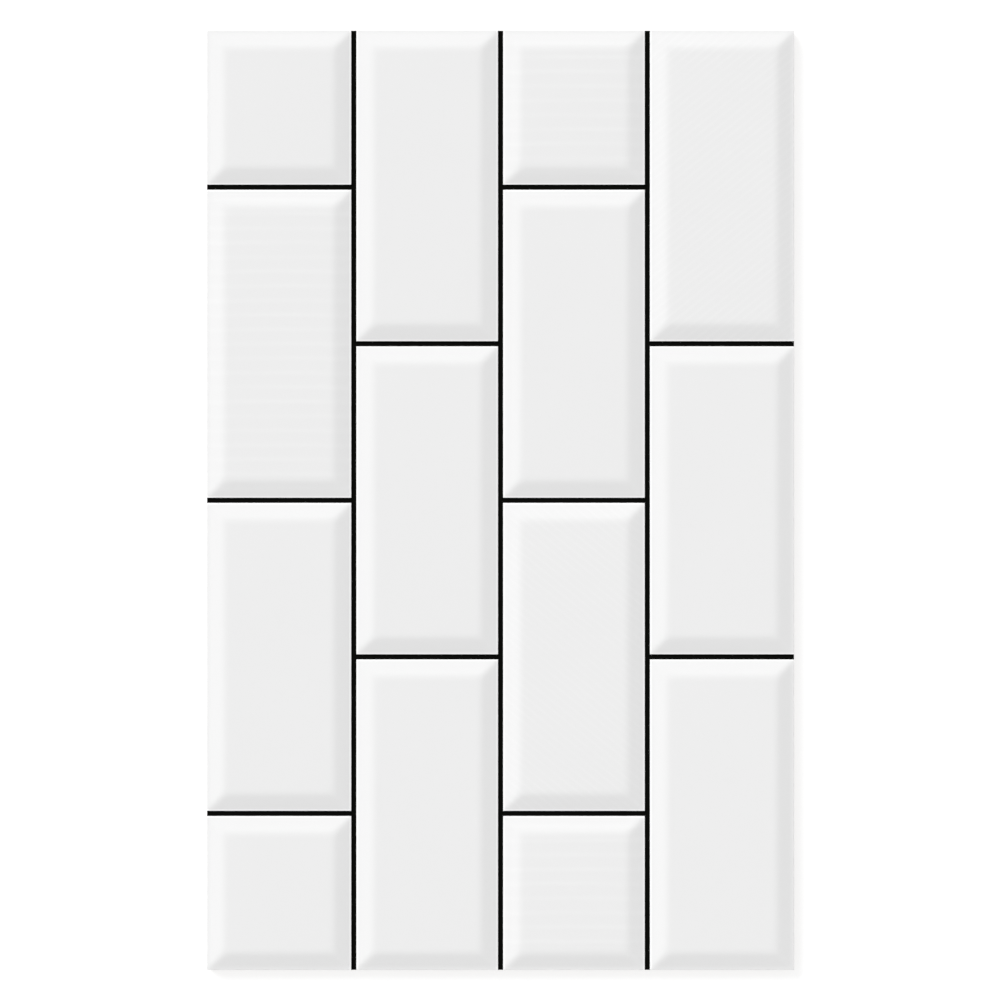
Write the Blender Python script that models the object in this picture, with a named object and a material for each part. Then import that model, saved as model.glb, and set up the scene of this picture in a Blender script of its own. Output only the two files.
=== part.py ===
"""A glazed ceramic wall tile, 250 x 400 mm, pressed with an upright bond of bevelled bricks.

The tile lies face up. Lengths are in metres, +Z points out of the glazed face, +Y runs
along the tile and +X across it. The origin is under the middle of the tile, on the plane
of the ribs that its back rests on.
"""

import bmesh
import bpy
from mathutils import Vector

# The body, from the flat tops of the bricks to the ribs of the back
TILE_WIDTH = 0.250
TILE_LENGTH = 0.400
TILE_THICKNESS = 0.0080

# The bond: upright columns of bricks, every other one shifted by half a brick
COLUMNS = 4
BRICKS_PER_COLUMN = 3

# The pressed joint between bricks, at its mouth and below the foot of the bevels
JOINT_WIDTH = 0.0020
JOINT_DEPTH = 0.0007
JOINT_LEAN = 0.0002

# The sloping border of each brick, and the round crest where it meets the flat top
BEVEL_WIDTH = 0.0075
BEVEL_DROP = 0.0017
CREST_WIDTH = 0.0034
CREST_SEGMENTS = 6

# The back: a chamfer round it, a flat rim, and a lattice of ribs between shallow pockets
BACK_CHAMFER = 0.0012
RIM_WIDTH = 0.0080
POCKETS_ACROSS = 10
POCKETS_ALONG = 16
RIB_WIDTH = 0.0040
POCKET_DEPTH = 0.0008
POCKET_DRAFT = 0.0006

# The linear colour and the roughness of each finish
FINISHES = {
    "white_glaze": ((0.855, 0.855, 0.855, 1.0), 0.10),
    "black_joint_ink": ((0.003, 0.003, 0.002, 1.0), 0.60),
    "fired_biscuit": ((0.680, 0.560, 0.450, 1.0), 0.90),
}

ACROSS = Vector((1.0, 0.0, 0.0))
ALONG = Vector((0.0, 1.0, 0.0))
CUT_TOLERANCE = 1e-7


def add_materials(mesh):
    """Gives the mesh one slot for each finish."""
    for name, (colour, roughness) in FINISHES.items():
        material = bpy.data.materials.new(name)
        material.use_nodes = True
        shader = material.node_tree.nodes["Principled BSDF"]
        shader.inputs["Base Color"].default_value = colour
        shader.inputs["Roughness"].default_value = roughness
        shader.inputs["Metallic"].default_value = 0.0
        mesh.materials.append(material)


def finish_faces(faces, name):
    """Gives the faces the slot of this finish."""
    slot = list(FINISHES).index(name)
    for face in faces:
        face.material_index = slot


def press_blank(tile):
    """Makes the plain body up to the floor of the joints, chamfered round its back."""
    joint_floor = TILE_THICKNESS - BEVEL_DROP - JOINT_DEPTH
    bmesh.ops.create_cube(tile, size=1.0)
    bmesh.ops.scale(tile, vec=(TILE_WIDTH, TILE_LENGTH, joint_floor), verts=tile.verts)
    bmesh.ops.translate(tile, vec=(0.0, 0.0, joint_floor / 2), verts=tile.verts)
    back_edges = [edge for edge in tile.edges if all(vert.co.z == 0.0 for vert in edge.verts)]
    bmesh.ops.bevel(
        tile,
        geom=back_edges,
        offset=BACK_CHAMFER,
        segments=1,
        profile=0.5,
        affect="EDGES",
        material=-1,
    )
    finish_faces(tile.faces, "fired_biscuit")


def faces_towards(tile, direction):
    """The faces that look this way, up or down."""
    return [face for face in tile.faces if face.normal.z * direction > 0.99]


def cut_strips(tile, faces, axis, lines, strip_width):
    """Cuts the faces along both sides of each line, and returns those between the strips."""
    half = strip_width / 2
    for line in lines:
        for side in (line - half, line + half):
            edges = {edge for face in faces for edge in face.edges}
            verts = {vert for face in faces for vert in face.verts}
            cut = bmesh.ops.bisect_plane(
                tile,
                geom=[*verts, *edges, *faces],
                dist=CUT_TOLERANCE,
                plane_co=axis * side,
                plane_no=axis,
            )
            faces = [item for item in cut["geom"] if isinstance(item, bmesh.types.BMFace)]

    def between_strips(face):
        place = face.calc_center_median().dot(axis)
        return all(abs(place - line) > half for line in lines)

    return [face for face in faces if between_strips(face)]


def course_lines(column):
    """Where the joints across this column lie: even columns are shifted by half a brick."""
    brick = TILE_LENGTH / BRICKS_PER_COLUMN
    shifted = column % 2 == 0
    start = -TILE_LENGTH / 2 - (brick / 2 if shifted else 0.0)
    joints = BRICKS_PER_COLUMN if shifted else BRICKS_PER_COLUMN - 1
    return [start + brick * (joint + 1) for joint in range(joints)]


def bevel_rings():
    """Steps in and up from the foot of a bevel: its straight slope, then its round crest.

    Over the crest the slope falls evenly to level, so each step rises by its middle slope.
    """
    slope = BEVEL_DROP / BEVEL_WIDTH
    straight = BEVEL_WIDTH - CREST_WIDTH / 2
    crest_step = CREST_WIDTH / CREST_SEGMENTS
    rings = [(straight, straight * slope)]
    for segment in range(CREST_SEGMENTS):
        levelled = (segment + 0.5) / CREST_SEGMENTS
        rings.append((crest_step, crest_step * slope * (1 - levelled)))
    return rings


def press_bricks(tile):
    """Cuts the joints into the top, then raises each brick with its wall, bevel and crest."""
    floor_width = JOINT_WIDTH - 2 * JOINT_LEAN
    pitch = TILE_WIDTH / COLUMNS
    column_lines = [pitch * (column + 1) - TILE_WIDTH / 2 for column in range(COLUMNS - 1)]
    top = faces_towards(tile, 1)
    columns = cut_strips(tile, top, ACROSS, column_lines, floor_width)
    columns.sort(key=lambda face: face.calc_center_median().x)
    bricks = []
    for column, face in enumerate(columns):
        bricks += cut_strips(tile, [face], ALONG, course_lines(column), floor_width)
    finish_faces(faces_towards(tile, 1), "black_joint_ink")
    finish_faces(bricks, "white_glaze")
    for run, rise in [(JOINT_LEAN, JOINT_DEPTH), *bevel_rings()]:
        bmesh.ops.inset_individual(
            tile,
            faces=bricks,
            thickness=run,
            depth=rise,
            use_even_offset=True,
        )


def press_back(tile):
    """Divides the back inside its rim into a lattice, and sinks the pockets between the ribs."""
    back = faces_towards(tile, -1)
    bmesh.ops.inset_individual(tile, faces=back, thickness=RIM_WIDTH - BACK_CHAMFER, depth=0.0)
    pockets = back
    for axis, size, count in (
        (ACROSS, TILE_WIDTH, POCKETS_ACROSS),
        (ALONG, TILE_LENGTH, POCKETS_ALONG),
    ):
        field = size - 2 * RIM_WIDTH
        pitch = (field + RIB_WIDTH) / count
        ribs = [pitch * (rib + 1) - (field + RIB_WIDTH) / 2 for rib in range(count - 1)]
        pockets = cut_strips(tile, pockets, axis, ribs, RIB_WIDTH)
    bmesh.ops.inset_individual(
        tile,
        faces=pockets,
        thickness=POCKET_DRAFT,
        depth=-POCKET_DEPTH,
        use_even_offset=True,
    )


def make_tile(collection):
    """Presses the tile in one piece and puts it in the collection."""
    tile = bmesh.new()
    press_blank(tile)
    press_back(tile)
    press_bricks(tile)
    mesh = bpy.data.meshes.new("wall_tile")
    tile.to_mesh(mesh)
    tile.free()
    add_materials(mesh)
    collection.objects.link(bpy.data.objects.new("wall_tile", mesh))


def main():
    for existing in list(bpy.data.objects):
        bpy.data.objects.remove(existing, do_unlink=True)
    collection = bpy.data.collections.new("ceramic_wall_tile")
    bpy.context.scene.collection.children.link(collection)
    make_tile(collection)


main()
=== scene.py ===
import math

import bmesh
import bpy
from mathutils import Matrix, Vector, noise


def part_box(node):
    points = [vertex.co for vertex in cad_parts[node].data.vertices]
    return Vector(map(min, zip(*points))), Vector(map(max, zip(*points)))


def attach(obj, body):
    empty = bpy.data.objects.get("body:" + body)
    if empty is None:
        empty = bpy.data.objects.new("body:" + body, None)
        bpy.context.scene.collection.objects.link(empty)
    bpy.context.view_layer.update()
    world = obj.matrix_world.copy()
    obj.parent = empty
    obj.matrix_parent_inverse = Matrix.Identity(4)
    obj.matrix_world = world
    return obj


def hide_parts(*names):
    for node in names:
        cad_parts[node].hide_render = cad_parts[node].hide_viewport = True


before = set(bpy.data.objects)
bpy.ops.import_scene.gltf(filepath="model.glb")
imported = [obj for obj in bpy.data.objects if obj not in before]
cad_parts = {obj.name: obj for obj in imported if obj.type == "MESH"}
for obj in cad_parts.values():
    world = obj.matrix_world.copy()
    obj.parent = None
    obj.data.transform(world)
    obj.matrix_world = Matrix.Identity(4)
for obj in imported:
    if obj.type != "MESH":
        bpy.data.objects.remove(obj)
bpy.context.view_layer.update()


# The camera looks straight down on the face through a long lens. The tile takes up the
# share of the frame's width that it has in the photograph, a hair off the middle.
tile_low, tile_high = (Vector(corner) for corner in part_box("wall_tile"))


def place_camera():
    """Hangs the camera so far over the tile that the outline of its face fills tile_px."""
    frame_px, tile_px = 1000, 587
    right_px, down_px = 0.55, 0.3
    lens_mm, sensor_mm = 200, 36
    outline_height = 0.75 * tile_high.z
    middle = (tile_low + tile_high) / 2
    view_width = (tile_high.x - tile_low.x) * frame_px / tile_px
    camera_data = bpy.data.cameras.new("camera")
    camera_data.lens = lens_mm
    camera_data.sensor_width = sensor_mm
    camera_data.clip_end = 50
    camera_data.shift_x = -right_px / frame_px
    camera_data.shift_y = down_px / frame_px
    camera = bpy.data.objects.new("camera", camera_data)
    camera.location = (middle.x, middle.y, outline_height + view_width * lens_mm / sensor_mm)
    bpy.context.scene.collection.objects.link(camera)
    bpy.context.scene.camera = camera


place_camera()


# The tile is one slab of biscuit, pressed from clay powder in a steel die. The die gives
# its face an upright bond: columns of bevelled bricks, every other column shifted by half
# a brick, with a sunk joint between bricks. Its back has ribs that key into the adhesive.
column_count = 4
bricks_per_column = 3
column_pitch = (tile_high.x - tile_low.x) / column_count
brick_pitch = (tile_high.y - tile_low.y) / bricks_per_column

# The joints that run up between the columns, and those across a shifted and a plain column
upright_joints = [tile_low.x + column_pitch * column for column in range(1, column_count)]
shifted_joints = [tile_low.y + brick_pitch * (row + 0.5) for row in range(bricks_per_column)]
plain_joints = [tile_low.y + brick_pitch * row for row in range(1, bricks_per_column)]

# A joint has round walls. Its ink spills a little over its lips. Along the lips the glaze carries a
# painted highlight, which fades out to the brick's own white.
joint_width = 0.0020
joint_depth = 0.0007
joint_wall = 0.0005
ink_spill = 0.0001
lip_width = 0.0006
lip_fade = 0.0005

# A brick's border slopes up to a round crest. Two slopes blend softly where they meet at a
# corner, over less at the foot than at the crest.
bevel_width = 0.0075
bevel_drop = 0.0017
bevel_slope = bevel_drop / bevel_width
foot_height = tile_high.z - bevel_drop
crest_width = 0.0034
crest_start = bevel_width - crest_width / 2
crest_end = bevel_width + crest_width / 2
hip_blend_at_foot = 0.0005
hip_blend_at_crest = 0.0026

# Round the tile's edge the slope flattens to a land and ends in a fine arris
land_width = 0.0016
land_flattening = 0.85
arris_radius = 0.0001


def clamp(value, low=0, high=1):
    """The value, held between low and high."""
    return min(max(value, low), high)


def s_curve(share):
    """A share from 0 to 1, eased at both ends."""
    return share**2 * (3 - 2 * share)


def column_at(x):
    """The number of the column, from the left, that x lies in."""
    return clamp(int((x - tile_low.x) / column_pitch), 0, column_count - 1)


def cross_joints_at(x):
    """The joints that cross the column that x lies in."""
    return shifted_joints if column_at(x) % 2 == 0 else plain_joints


def joint_runs_at(x, y):
    """How far x, y lies from the nearest joints across and along; below zero in a joint."""
    across = min(abs(x - joint) for joint in upright_joints) - joint_width / 2
    along = min(abs(y - joint) for joint in cross_joints_at(x)) - joint_width / 2
    return across, along


def foot_runs_at(x, y):
    """How far x, y lies in, across and along, from the foot of a bevel."""
    across, along = joint_runs_at(x, y)
    across = min(across, x - tile_low.x, tile_high.x - x)
    along = min(along, y - tile_low.y, tile_high.y - y)
    return across, along


def edge_run_at(x, y):
    """How far x, y lies in from the nearest edge of the tile."""
    return min(x - tile_low.x, tile_high.x - x, y - tile_low.y, tile_high.y - y)


def soft_run(across, along):
    """The nearer of two runs, rounded over where they meet: a sharp foot and a soft crest."""
    nearer = min(across, along)
    up_slope = clamp(nearer / bevel_width)
    blend = hip_blend_at_foot + (hip_blend_at_crest - hip_blend_at_foot) * math.sqrt(up_slope)
    overlap = max(blend - abs(across - along), 0) / blend
    return nearer - overlap**2 * blend / 4


def rise_at(run):
    """Height over the foot of a bevel: joint wall, straight slope, round crest, flat top."""
    if run < 0:
        return -joint_depth * s_curve(clamp(-run / joint_wall))
    into_crest = clamp(run - crest_start, 0, crest_width)
    return bevel_slope * (min(run, crest_end) - into_crest**2 / (2 * crest_width))


def land_lift(edge_run):
    """How much the land stands over the bevel's own slope."""
    into_land = 1 - clamp(edge_run / land_width)
    return bevel_slope * land_flattening * land_width / 2 * into_land**2


def arris_fall(edge_run):
    """How far the arris has fallen."""
    short_of_top = max(arris_radius - max(edge_run, 0), 0)
    return arris_radius - math.sqrt(arris_radius**2 - short_of_top**2)


def plan_lines(low, high, joints):
    """Lines of the face's grid along one axis, close together over walls, bevels and crests.

    One line more than a crest has lies on the flat top, which starts level there.
    """
    wall_steps, slope_steps, crest_steps, arris_steps = 6, 8, 8, 5
    wall = [-joint_wall * step / wall_steps for step in range(wall_steps + 1)]
    lip = [ink_spill, lip_width, lip_width + lip_fade / 2, lip_width + lip_fade]
    slope = [crest_start * step / slope_steps for step in range(1, slope_steps + 1)]
    crest = [crest_start + crest_width * step / crest_steps for step in range(1, crest_steps + 2)]
    turns = [math.pi / 2 * step / arris_steps for step in range(arris_steps + 1)]
    arris = [arris_radius * (1 - math.cos(turn)) for turn in turns]
    lines = []
    for edge, inward in ((low, 1), (high, -1)):
        lines += [edge + inward * run for run in (*arris, *slope, *crest)]
    for joint in joints:
        lines.append(joint)
        for inward in (1, -1):
            foot = joint + inward * joint_width / 2
            lines += [foot + inward * run for run in (*wall, *lip, *slope, *crest)]
    return sorted(lines)


def lay_out_face(tile):
    """Makes the face as a flat grid, and cuts it along the hips, where two bevels meet."""
    across = plan_lines(tile_low.x, tile_high.x, upright_joints)
    along = plan_lines(tile_low.y, tile_high.y, [*shifted_joints, *plain_joints])
    columns, rows = len(across) - 1, len(along) - 1
    bmesh.ops.create_grid(tile, x_segments=columns, y_segments=rows, size=1.0)
    on_hip = 1e-6
    hips = []
    for point in tile.verts:
        x = across[round((point.co.x + 1) / 2 * columns)]
        y = along[round((point.co.y + 1) / 2 * rows)]
        point.co = (x, y, foot_height)
        run_across, run_along = foot_runs_at(x, y)
        if abs(run_across - run_along) < on_hip and run_across < crest_end:
            hips.append(point)
    bmesh.ops.connect_verts(tile, verts=hips)


def press_relief(tile):
    """Raises each point of the flat face to the die's relief, with an arris that wear varies."""
    wear_share, wear_scale = 0.18, 900
    for point in tile.verts:
        x, y, z = point.co
        edge_run = edge_run_at(x, y)
        wear = 1 + wear_share * noise.noise(Vector((x, y, 0)) * wear_scale)
        rise = rise_at(soft_run(*foot_runs_at(x, y)))
        point.co.z = z + rise + land_lift(edge_run) - arris_fall(edge_run) * wear


def round_plan_corners(tile):
    """Draws the tile's four square corners in to arcs of the arris's radius."""
    for point in tile.verts:
        side = Vector((math.copysign(1, point.co.x), math.copysign(1, point.co.y)))
        centre = Vector((tile_high.x - arris_radius, tile_high.y - arris_radius)) * side
        out = (point.co.xy - centre) * side
        if min(out) > 0:
            pulled = out * max(out) / out.length
            point.co.xy = centre + pulled * side


# The back has a soft chamfer and a flat rim, then ribs between shallow drafted pockets
back_chamfer = 0.0012
rim_width = 0.0080
pockets_across = 10
pockets_along = 16
rib_width = 0.0040
pocket_depth = 0.0008
pocket_draft = 0.0009


def draw_sides(tile):
    """Draws the outline of the face down its sides and under its back edge, and closes it.

    The sides start below the arris of the deepest point. The chamfer is given by the inset
    and height of its points, in chamfer widths, and its lower half mirrors its upper.
    """
    side_top = foot_height - joint_depth - 1.5 * arris_radius
    upper_chamfer = [(0.0, 1.25), (0.06, 0.94), (0.22, 0.70)]
    lower_chamfer = [(height, inset) for inset, height in reversed(upper_chamfer)]
    levels = [(0.0, side_top)]
    for inset, height in (*upper_chamfer, *lower_chamfer):
        levels.append((inset * back_chamfer, height * back_chamfer))
    rim = [edge for edge in tile.edges if edge.is_boundary]
    reach = Vector((tile_high.x, tile_high.y, 1.0))
    for inset, height in levels:
        drawn = bmesh.ops.extrude_edge_only(tile, edges=rim)["geom"]
        rim = [item for item in drawn if isinstance(item, bmesh.types.BMEdge) and item.is_boundary]
        lower = list({vert for edge in rim for vert in edge.verts})
        drawn_in = Vector((tile_high.x - inset, tile_high.y - inset, 1.0))
        shrink = [new / old for new, old in zip(drawn_in, reach)]
        bmesh.ops.scale(tile, vec=shrink, verts=lower)
        for point in lower:
            point.co.z = height
        reach = drawn_in
    return bmesh.ops.contextual_create(tile, geom=rim)["faces"]


def cut_strips(tile, faces, axis, lines, strip_width):
    """Cuts the faces along both sides of each line, and returns those between the strips."""
    cut_tolerance = 1e-7
    half = strip_width / 2
    for line in lines:
        for cut_at in (line - half, line + half):
            edges = {edge for face in faces for edge in face.edges}
            verts = {vert for face in faces for vert in face.verts}
            cut = bmesh.ops.bisect_plane(
                tile,
                geom=[*verts, *edges, *faces],
                dist=cut_tolerance,
                plane_co=axis * cut_at,
                plane_no=axis,
            )
            faces = [item for item in cut["geom"] if isinstance(item, bmesh.types.BMFace)]
    between = []
    for face in faces:
        place = face.calc_center_bounds().dot(axis)
        if all(abs(place - line) > half for line in lines):
            between.append(face)
    return between


def press_back(tile, back):
    """Cuts the back into a rim and a lattice of ribs, and sinks the pockets between them."""
    pockets = back
    for axis, reach, count in (
        (Vector((1, 0, 0)), tile_high.x, pockets_across),
        (Vector((0, 1, 0)), tile_high.y, pockets_along),
    ):
        field = 2 * (reach - rim_width)
        pitch = (field + rib_width) / count
        ribs = [pitch * (rib + 1) - (field + rib_width) / 2 for rib in range(count - 1)]
        rims = [-reach + rim_width / 2, reach - rim_width / 2]
        pockets = cut_strips(tile, pockets, axis, rims, rim_width)
        pockets = cut_strips(tile, pockets, axis, ribs, rib_width)
    wall_steps = 5
    for step in range(wall_steps):
        sink = pocket_depth * (s_curve((step + 1) / wall_steps) - s_curve(step / wall_steps))
        bmesh.ops.inset_individual(
            tile,
            faces=pockets,
            thickness=pocket_draft / wall_steps,
            depth=-sink,
            use_even_offset=True,
        )


# The joints are inked black. Five bricks carry fine ruled ridges under the glaze: level,
# rising to the right or falling. They are laid out from the middle of the brick's top, and
# the first of them lies as far down as start says.
slant = math.radians(51.4)
slant_across, slant_down = math.cos(slant), -math.sin(slant)
slanted = {"pitch": 0.00293, "start": 0.00225, "height": 0.000010, "tint": 0.016}
ruled_reliefs = {
    "level": {"across": (0, -1, 0), "pitch": 0.00615, "start": 0.0056, "height": 0.000025, "tint": 0.017},
    "rising": {"across": (slant_across, slant_down, 0), **slanted},
    "falling": {"across": (-slant_across, slant_down, 0), **slanted},
}

# The ruled bricks, by column from the left and row from the top
ruled_bricks = {(0, 1): "level", (2, 0): "level", (2, 3): "level", (3, 0): "rising", (2, 2): "falling"}
finish_names = ["plain", *ruled_reliefs, "ink", "biscuit"]


def finish_at(x, y):
    """The finish of the face at x, y."""
    if min(joint_runs_at(x, y)) < ink_spill:
        return "ink"
    row = sum(joint > y for joint in cross_joints_at(x))
    return ruled_bricks.get((column_at(x), row), "plain")


def from_brick_top(x, y):
    """The place of x, y from the middle of its brick's top."""
    middle = tile_low.x + column_pitch * (column_at(x) + 0.5)
    top = min((joint for joint in cross_joints_at(x) if joint > y), default=tile_high.y)
    return Vector((x - middle, y - top, 0))


def mark_finishes(tile):
    """Gives each part of the face its finish. Marks the lips of the joints, where a painted
    highlight lightens the glaze, and each point's place on its brick, which the ruled ridges follow."""
    for face in tile.faces:
        centre = face.calc_center_median()
        face.material_index = finish_names.index(finish_at(centre.x, centre.y))
    lip_highlight_mark = tile.verts.layers.float.new("painted_lip_highlight")
    brick_mark = tile.verts.layers.float_vector.new("from_brick_top")
    for point in tile.verts:
        x, y, _ = point.co
        # The painted highlight is full on the lips and fades out past them
        past_lip = (min(joint_runs_at(x, y)) - lip_width) / lip_fade
        point[lip_highlight_mark] = 1 - s_curve(clamp(past_lip))
        point[brick_mark] = from_brick_top(x, y)


def make_tile():
    """Makes the tile from its face down to its back, in one closed mesh."""
    tile = bmesh.new()
    lay_out_face(tile)
    mark_finishes(tile)
    face_count = len(tile.faces)
    press_relief(tile)
    round_plan_corners(tile)
    press_back(tile, draw_sides(tile))
    tile.faces.ensure_lookup_table()
    for face in tile.faces[face_count:]:
        face.material_index = finish_names.index("biscuit")
    bmesh.ops.recalc_face_normals(tile, faces=tile.faces)
    mesh = bpy.data.meshes.new("glazed_tile")
    tile.to_mesh(mesh)
    tile.free()
    mesh.shade_smooth()
    mesh.set_sharp_from_angle(angle=math.radians(40))
    piece = bpy.data.objects.new("glazed_tile", mesh)
    bpy.context.scene.collection.objects.link(piece)
    return piece


glazed_tile = make_tile()


# The finishes are fired on together: a glossy white glaze poured over the face, and a matt
# black ink laid into the joints. The sides and the back are left as bare biscuit.
def set_sockets(tree, node, values):
    """Sets these sockets of the node, each to a value or to what another node gives out."""
    for socket, value in values.items():
        if isinstance(value, bpy.types.NodeSocket):
            tree.links.new(value, node.inputs[socket])
        else:
            node.inputs[socket].default_value = value


def add_node(tree, kind, values=(), **settings):
    """Adds a shader node with these settings, and these values on its sockets."""
    node = tree.nodes.new(f"ShaderNode{kind}")
    for setting, value in settings.items():
        setattr(node, setting, value)
    set_sockets(tree, node, dict(values))
    return node


def add_group(tree, group, **values):
    """Adds a shader group with these values on its sockets, and returns what it gives out."""
    node = tree.nodes.new("ShaderNodeGroup")
    node.node_tree = group
    set_sockets(tree, node, values)
    return node.outputs


def new_group(name, inputs, outputs):
    """An empty shader group with these sockets, what it is given, and its output node."""
    group = bpy.data.node_groups.new(name, "ShaderNodeTree")
    for in_out, sockets in (("INPUT", inputs), ("OUTPUT", outputs)):
        for socket, kind in sockets.items():
            group.interface.new_socket(socket, in_out=in_out, socket_type=f"NodeSocket{kind}")
    given = group.nodes.new("NodeGroupInput").outputs
    return group, given, group.nodes.new("NodeGroupOutput")


def add_maths(tree, operation, *values):
    """Adds a Math node on these sockets or numbers, and returns its result."""
    return add_node(tree, "Math", enumerate(values), operation=operation).outputs[0]


def remap(tree, value, source, target, interpolation="LINEAR"):
    """Maps a value from the source range onto the target range, and returns the result."""
    values = {
        "Value": value,
        "From Min": source[0],
        "From Max": source[1],
        "To Min": target[0],
        "To Max": target[1],
    }
    return add_node(tree, "MapRange", values, interpolation_type=interpolation).outputs["Result"]


def add_noise(tree, place, scale, detail=2.0, roughness=0.5):
    values = {"Vector": place, "Scale": scale, "Detail": detail, "Roughness": roughness}
    return add_node(tree, "TexNoise", values).outputs["Fac"]


# Nearly all of a noise lies in this range
noise_range = (0.3, 0.7)


def make_glaze_flow():
    """How a fired glaze lies: faint clouds of tint and gloss, and a surface that swells."""
    swell_height, peel_height = 0.000016, 0.0000012
    group, given, result = new_group(
        "glaze_flow",
        {"Place": "Vector"},
        {"Tint": "Float", "Gloss": "Float", "Swell": "Float"},
    )
    place = given["Place"]
    tint_clouds = add_noise(group, place, scale=30.0)
    gloss_clouds = add_noise(group, place, scale=160.0, detail=4.0)
    swell = add_maths(group, "MULTIPLY", add_noise(group, place, scale=85.0), swell_height)
    peel = add_maths(group, "MULTIPLY", add_noise(group, place, scale=700.0), peel_height)
    set_sockets(group, result, {
        "Tint": remap(group, tint_clouds, noise_range, (0.995, 1.0)),
        "Gloss": remap(group, gloss_clouds, noise_range, (0.07, 0.13)),
        "Swell": add_maths(group, "ADD", swell, peel),
    })
    return group


def make_ruled_lines():
    """Fine parallel ridges, each stronger in some stretches than in others, from 0 up to 1."""
    sharpness = 3.0
    stretch = (0.15, 1.0, 1.0)
    group, given, result = new_group(
        "ruled_lines",
        {
            "Place": "Vector",
            "FromTop": "Vector",
            "Across": "Vector",
            "Pitch": "Float",
            "Start": "Float",
        },
        {"Ridge": "Float"},
    )
    directions = {0: given["FromTop"], 1: given["Across"]}
    run = add_node(group, "VectorMath", directions, operation="DOT_PRODUCT").outputs["Value"]
    past_start = add_maths(group, "SUBTRACT", run, given["Start"])
    turns = add_maths(group, "DIVIDE", past_start, given["Pitch"])
    wave = add_maths(group, "COSINE", add_maths(group, "MULTIPLY", turns, math.tau))
    ridge = add_maths(group, "POWER", remap(group, wave, (-1.0, 1.0), (0.0, 1.0)), sharpness)
    stretched = add_node(group, "VectorMath", {0: given["Place"], 1: stretch}, operation="MULTIPLY")
    patches = add_noise(group, stretched.outputs["Vector"], scale=130.0)
    strength = remap(group, patches, (0.35, 0.65), (0.4, 1.0))
    set_sockets(group, result, {"Ridge": add_maths(group, "MULTIPLY", ridge, strength)})
    return group


glaze_flow = make_glaze_flow()
ruled_lines = make_ruled_lines()
glaze_white = (0.855, 0.855, 0.855)
ink_black = (0.0028, 0.0030, 0.0023)
biscuit_buff = (0.680, 0.560, 0.450)
wash_cream = (0.80, 0.78, 0.74)


def start_material(name):
    """A new material, its tree and its Principled shader."""
    material = bpy.data.materials.new(name)
    material.use_nodes = True
    tree = material.node_tree
    return material, tree, tree.nodes["Principled BSDF"]


def add_place(tree):
    """The place on the tile."""
    return add_node(tree, "TexCoord").outputs["Object"]


def tinted(tree, colour, tint):
    """The colour times a grey tint."""
    values = {0: colour, "Scale": tint}
    return add_node(tree, "VectorMath", values, operation="SCALE").outputs["Vector"]


def bump(tree, height):
    """The normal of a surface that rises by this height in metres."""
    return add_node(tree, "Bump", {"Height": height, "Distance": 1.0, "Strength": 1.0}).outputs["Normal"]


def make_white_glaze(name, relief=None):
    """Glossy white glaze, with ruled ridges under it where the brick has them, and a painted highlight
    along the joints' lips.
    """
    # How much lighter the painted highlight makes the glaze on the joints' lips
    lip_highlight_tint = 0.13
    material, tree, shader = start_material(name)
    place = add_place(tree)
    flow = add_group(tree, glaze_flow, Place=place)
    tint, height = flow["Tint"], flow["Swell"]
    if relief:
        brick_place = add_node(tree, "Attribute", attribute_name="from_brick_top").outputs["Vector"]
        ridge = add_group(
            tree,
            ruled_lines,
            Place=place,
            FromTop=brick_place,
            Across=relief["across"],
            Pitch=relief["pitch"],
            Start=relief["start"],
        )["Ridge"]
        height = add_maths(tree, "MULTIPLY_ADD", ridge, relief["height"], height)
        tint = add_maths(tree, "MULTIPLY_ADD", ridge, relief["tint"], tint)
    # Painted highlight: the glaze's colour is lightened along the joints' lips
    lip = add_node(tree, "Attribute", attribute_name="painted_lip_highlight").outputs["Fac"]
    tint = add_maths(tree, "MULTIPLY_ADD", lip, lip_highlight_tint, tint)
    set_sockets(tree, shader, {
        "Base Color": tinted(tree, glaze_white, tint),
        "Roughness": flow["Gloss"],
        "IOR": 1.5,
        "Normal": bump(tree, height),
    })
    return material


def make_joint_ink():
    """Matt black ceramic ink, fired into the joints."""
    grain_height = 0.00001
    material, tree, shader = start_material("black_joint_ink")
    grain = add_noise(tree, add_place(tree), scale=1800.0, detail=3.0)
    set_sockets(tree, shader, {
        "Base Color": tinted(tree, ink_black, remap(tree, grain, (0.0, 1.0), (0.5, 1.5))),
        "Roughness": remap(tree, grain, (0.0, 1.0), (0.5, 0.75)),
        "Specular IOR Level": 0.05,
        "Normal": bump(tree, add_maths(tree, "MULTIPLY", grain, grain_height)),
    })
    return material


def clay_grain(tree, place):
    """Pressed clay powder after firing: cloudy buff, fine grain, and small open pores."""
    clouds = add_noise(tree, place, scale=60.0, detail=5.0, roughness=0.6)
    grain = add_noise(tree, place, scale=2600.0, detail=3.0, roughness=0.7)
    cells = add_node(tree, "TexVoronoi", {"Vector": place, "Scale": 900.0})
    pores = remap(tree, cells.outputs["Distance"], (0.10, 0.22), (1.0, 0.0))
    sparse = remap(tree, add_noise(tree, place, scale=420.0), (0.52, 0.62), (0.0, 1.0))
    return clouds, grain, add_maths(tree, "MULTIPLY", pores, sparse)


def glaze_runs(tree, place, height_up):
    """Where the glaze covers the sides: down to a ragged end a little below the face."""
    lowest, highest, soft_end = foot_height - 0.0022, foot_height - 0.0012, 0.00018
    ragged = add_noise(tree, place, scale=90.0, detail=3.0, roughness=0.55)
    end = remap(tree, ragged, noise_range, (lowest, highest))
    return remap(tree, add_maths(tree, "SUBTRACT", height_up, end), (0.0, soft_end), (0.0, 1.0))


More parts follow.
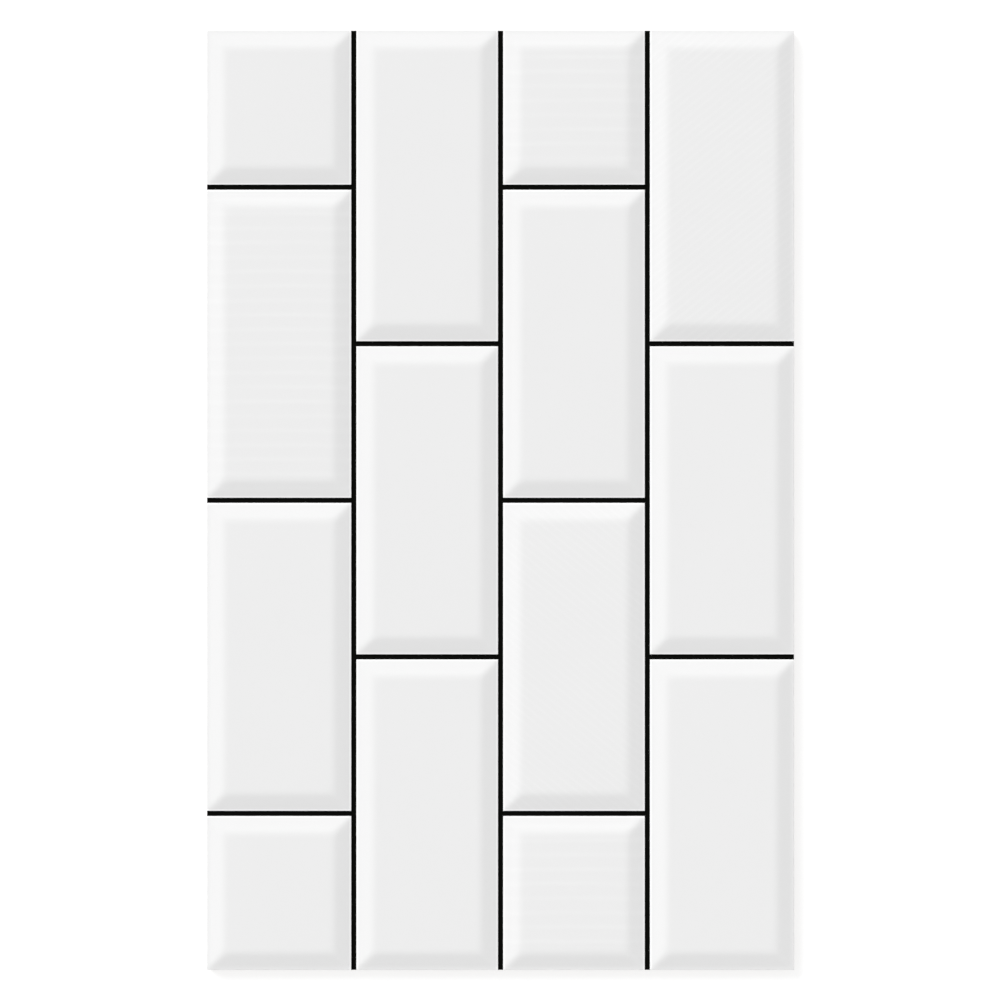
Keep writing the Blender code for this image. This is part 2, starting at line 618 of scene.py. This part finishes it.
def kiln_wash(tree, place, height_up):
    """Where a pale kiln wash has stuck to the ribs that the tile was fired on."""
    patches = add_noise(tree, place, scale=300.0, detail=4.0, roughness=0.65)
    patches = remap(tree, patches, (0.40, 0.60), (0.0, 0.75))
    on_ribs = remap(tree, height_up, (0.00003, 0.00015), (1.0, 0.0))
    return add_maths(tree, "MULTIPLY", patches, on_ribs)


def make_fired_biscuit():
    """Bare buff biscuit, with the ragged edge of the glaze down its sides and a pale kiln
    wash on its ribs."""
    bare_roughness = 0.78
    grain_height, pore_depth, glaze_height = 0.00005, 0.00012, 0.00012
    material, tree, shader = start_material("fired_biscuit")
    place = add_place(tree)
    height_up = add_node(tree, "SeparateXYZ", {"Vector": place}).outputs["Z"]
    glazed = glaze_runs(tree, place, height_up)
    washed = kiln_wash(tree, place, height_up)
    flow = add_group(tree, glaze_flow, Place=place)
    clouds, grain, pores = clay_grain(tree, place)

    tint = remap(tree, clouds, noise_range, (0.90, 1.06))
    tint = add_maths(tree, "MULTIPLY", tint, remap(tree, grain, noise_range, (0.90, 1.08)))
    # Painted shade: the pores are sunk by the bump below, and their colour is also darkened as shade in
    # them
    tint = add_maths(tree, "MULTIPLY", tint, remap(tree, pores, (0.0, 1.0), (1.0, 0.55)))
    colour = tinted(tree, biscuit_buff, tint)
    for share, over in (
        (washed, tinted(tree, wash_cream, tint)),
        (glazed, tinted(tree, glaze_white, flow["Tint"])),
    ):
        layers = {"Factor": share, "A": colour, "B": over}
        colour = add_node(tree, "Mix", layers, data_type="RGBA").outputs["Result"]

    bare = add_maths(tree, "SUBTRACT", 1.0, glazed)
    height = add_maths(tree, "MULTIPLY", grain, grain_height)
    height = add_maths(tree, "MULTIPLY_ADD", pores, -pore_depth, height)
    height = add_maths(tree, "MULTIPLY", height, bare)
    height = add_maths(tree, "MULTIPLY_ADD", glazed, glaze_height, height)
    set_sockets(tree, shader, {
        "Base Color": colour,
        "Roughness": add_maths(tree, "MULTIPLY_ADD", bare, bare_roughness, flow["Gloss"]),
        "Normal": bump(tree, height),
    })
    return material


# The slots follow the order of the finish names
glazes = [make_white_glaze("white_glaze")]
for relief_name, relief in ruled_reliefs.items():
    glazes.append(make_white_glaze(f"white_glaze_ruled_{relief_name}", relief))
for finish in [*glazes, make_joint_ink(), make_fired_biscuit()]:
    glazed_tile.data.materials.append(finish)
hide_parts("wall_tile")
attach(glazed_tile, "root")


# The floor is a plain white sweep. It takes the tile's soft shadow, and what the camera
# sees of it in the open is as white as the sky round it.
def make_floor():
    """Lays a matt grey floor that glows just enough to look white, also in a reflection."""
    floor_grey, seen_glow, mirrored_glow = 0.38, 0.76, 0.61
    floor = bmesh.new()
    bmesh.ops.create_grid(floor, x_segments=1, y_segments=1, size=8.0)
    mesh = bpy.data.meshes.new("studio_floor")
    floor.to_mesh(mesh)
    floor.free()
    material, tree, shader = start_material("white_floor")
    rays = add_node(tree, "LightPath").outputs
    mirrored = add_maths(tree, "MAXIMUM", rays["Is Glossy Ray"], rays["Is Transmission Ray"])
    mirrored = add_maths(tree, "MULTIPLY", mirrored, mirrored_glow)
    seen = add_maths(tree, "MULTIPLY", rays["Is Camera Ray"], seen_glow)
    set_sockets(tree, shader, {
        "Base Color": (floor_grey, floor_grey, floor_grey, 1.0),
        "Roughness": 1.0,
        "Specular IOR Level": 0.0,
        "Emission Color": (1.0, 1.0, 1.0, 1.0),
        "Emission Strength": add_maths(tree, "MAXIMUM", seen, mirrored),
    })
    mesh.materials.append(material)
    piece = bpy.data.objects.new("studio_floor", mesh)
    bpy.context.scene.collection.objects.link(piece)


make_floor()


# The light: one large soft lamp, far off to the upper left of the photograph, and a pale
# sky that is white at the horizon, dimmer overhead and a little brighter round the lamp.
lamp_elevation = math.radians(35)
lamp_bearing = math.radians(133)
lamp_direction = Vector((
    math.cos(lamp_elevation) * math.cos(lamp_bearing),
    math.cos(lamp_elevation) * math.sin(lamp_bearing),
    math.sin(lamp_elevation),
))


def make_sky():
    """A white horizon that dims overhead, with a glow round the lamp."""
    overhead_level, glow_level = 0.45, 0.45
    dimmed_from, glow_from = 0.6, 0.88
    world = bpy.data.worlds.new("studio_sky")
    world.use_nodes = True
    tree = world.node_tree
    direction = add_node(tree, "TexCoord").outputs["Generated"]
    up = add_node(tree, "SeparateXYZ", {"Vector": direction}).outputs["Z"]
    sky = remap(tree, up, (0.0, dimmed_from), (1.0, overhead_level), "SMOOTHSTEP")
    directions = {0: direction, 1: lamp_direction}
    toward = add_node(tree, "VectorMath", directions, operation="DOT_PRODUCT").outputs["Value"]
    glow = remap(tree, toward, (glow_from, 1.0), (0.0, glow_level), "SMOOTHSTEP")
    set_sockets(tree, tree.nodes["Background"], {
        "Color": (1.0, 1.0, 1.0, 1.0),
        "Strength": add_maths(tree, "ADD", sky, glow),
    })
    bpy.context.scene.world = world


def hang_lamp():
    """A lamp that alone would show a white face, square to it, at lamp_level."""
    lamp_level, lamp_spread = 0.84, math.radians(40)
    lamp_data = bpy.data.lights.new("soft_lamp", "SUN")
    lamp_data.angle = lamp_spread
    lamp_data.energy = math.pi * lamp_level
    lamp = bpy.data.objects.new("soft_lamp", lamp_data)
    lamp.rotation_euler = lamp_direction.to_track_quat("Z", "Y").to_euler()
    lamp.visible_glossy = False
    bpy.context.scene.collection.objects.link(lamp)


make_sky()
hang_lamp()

bpy.context.scene.view_settings.view_transform = "Standard"
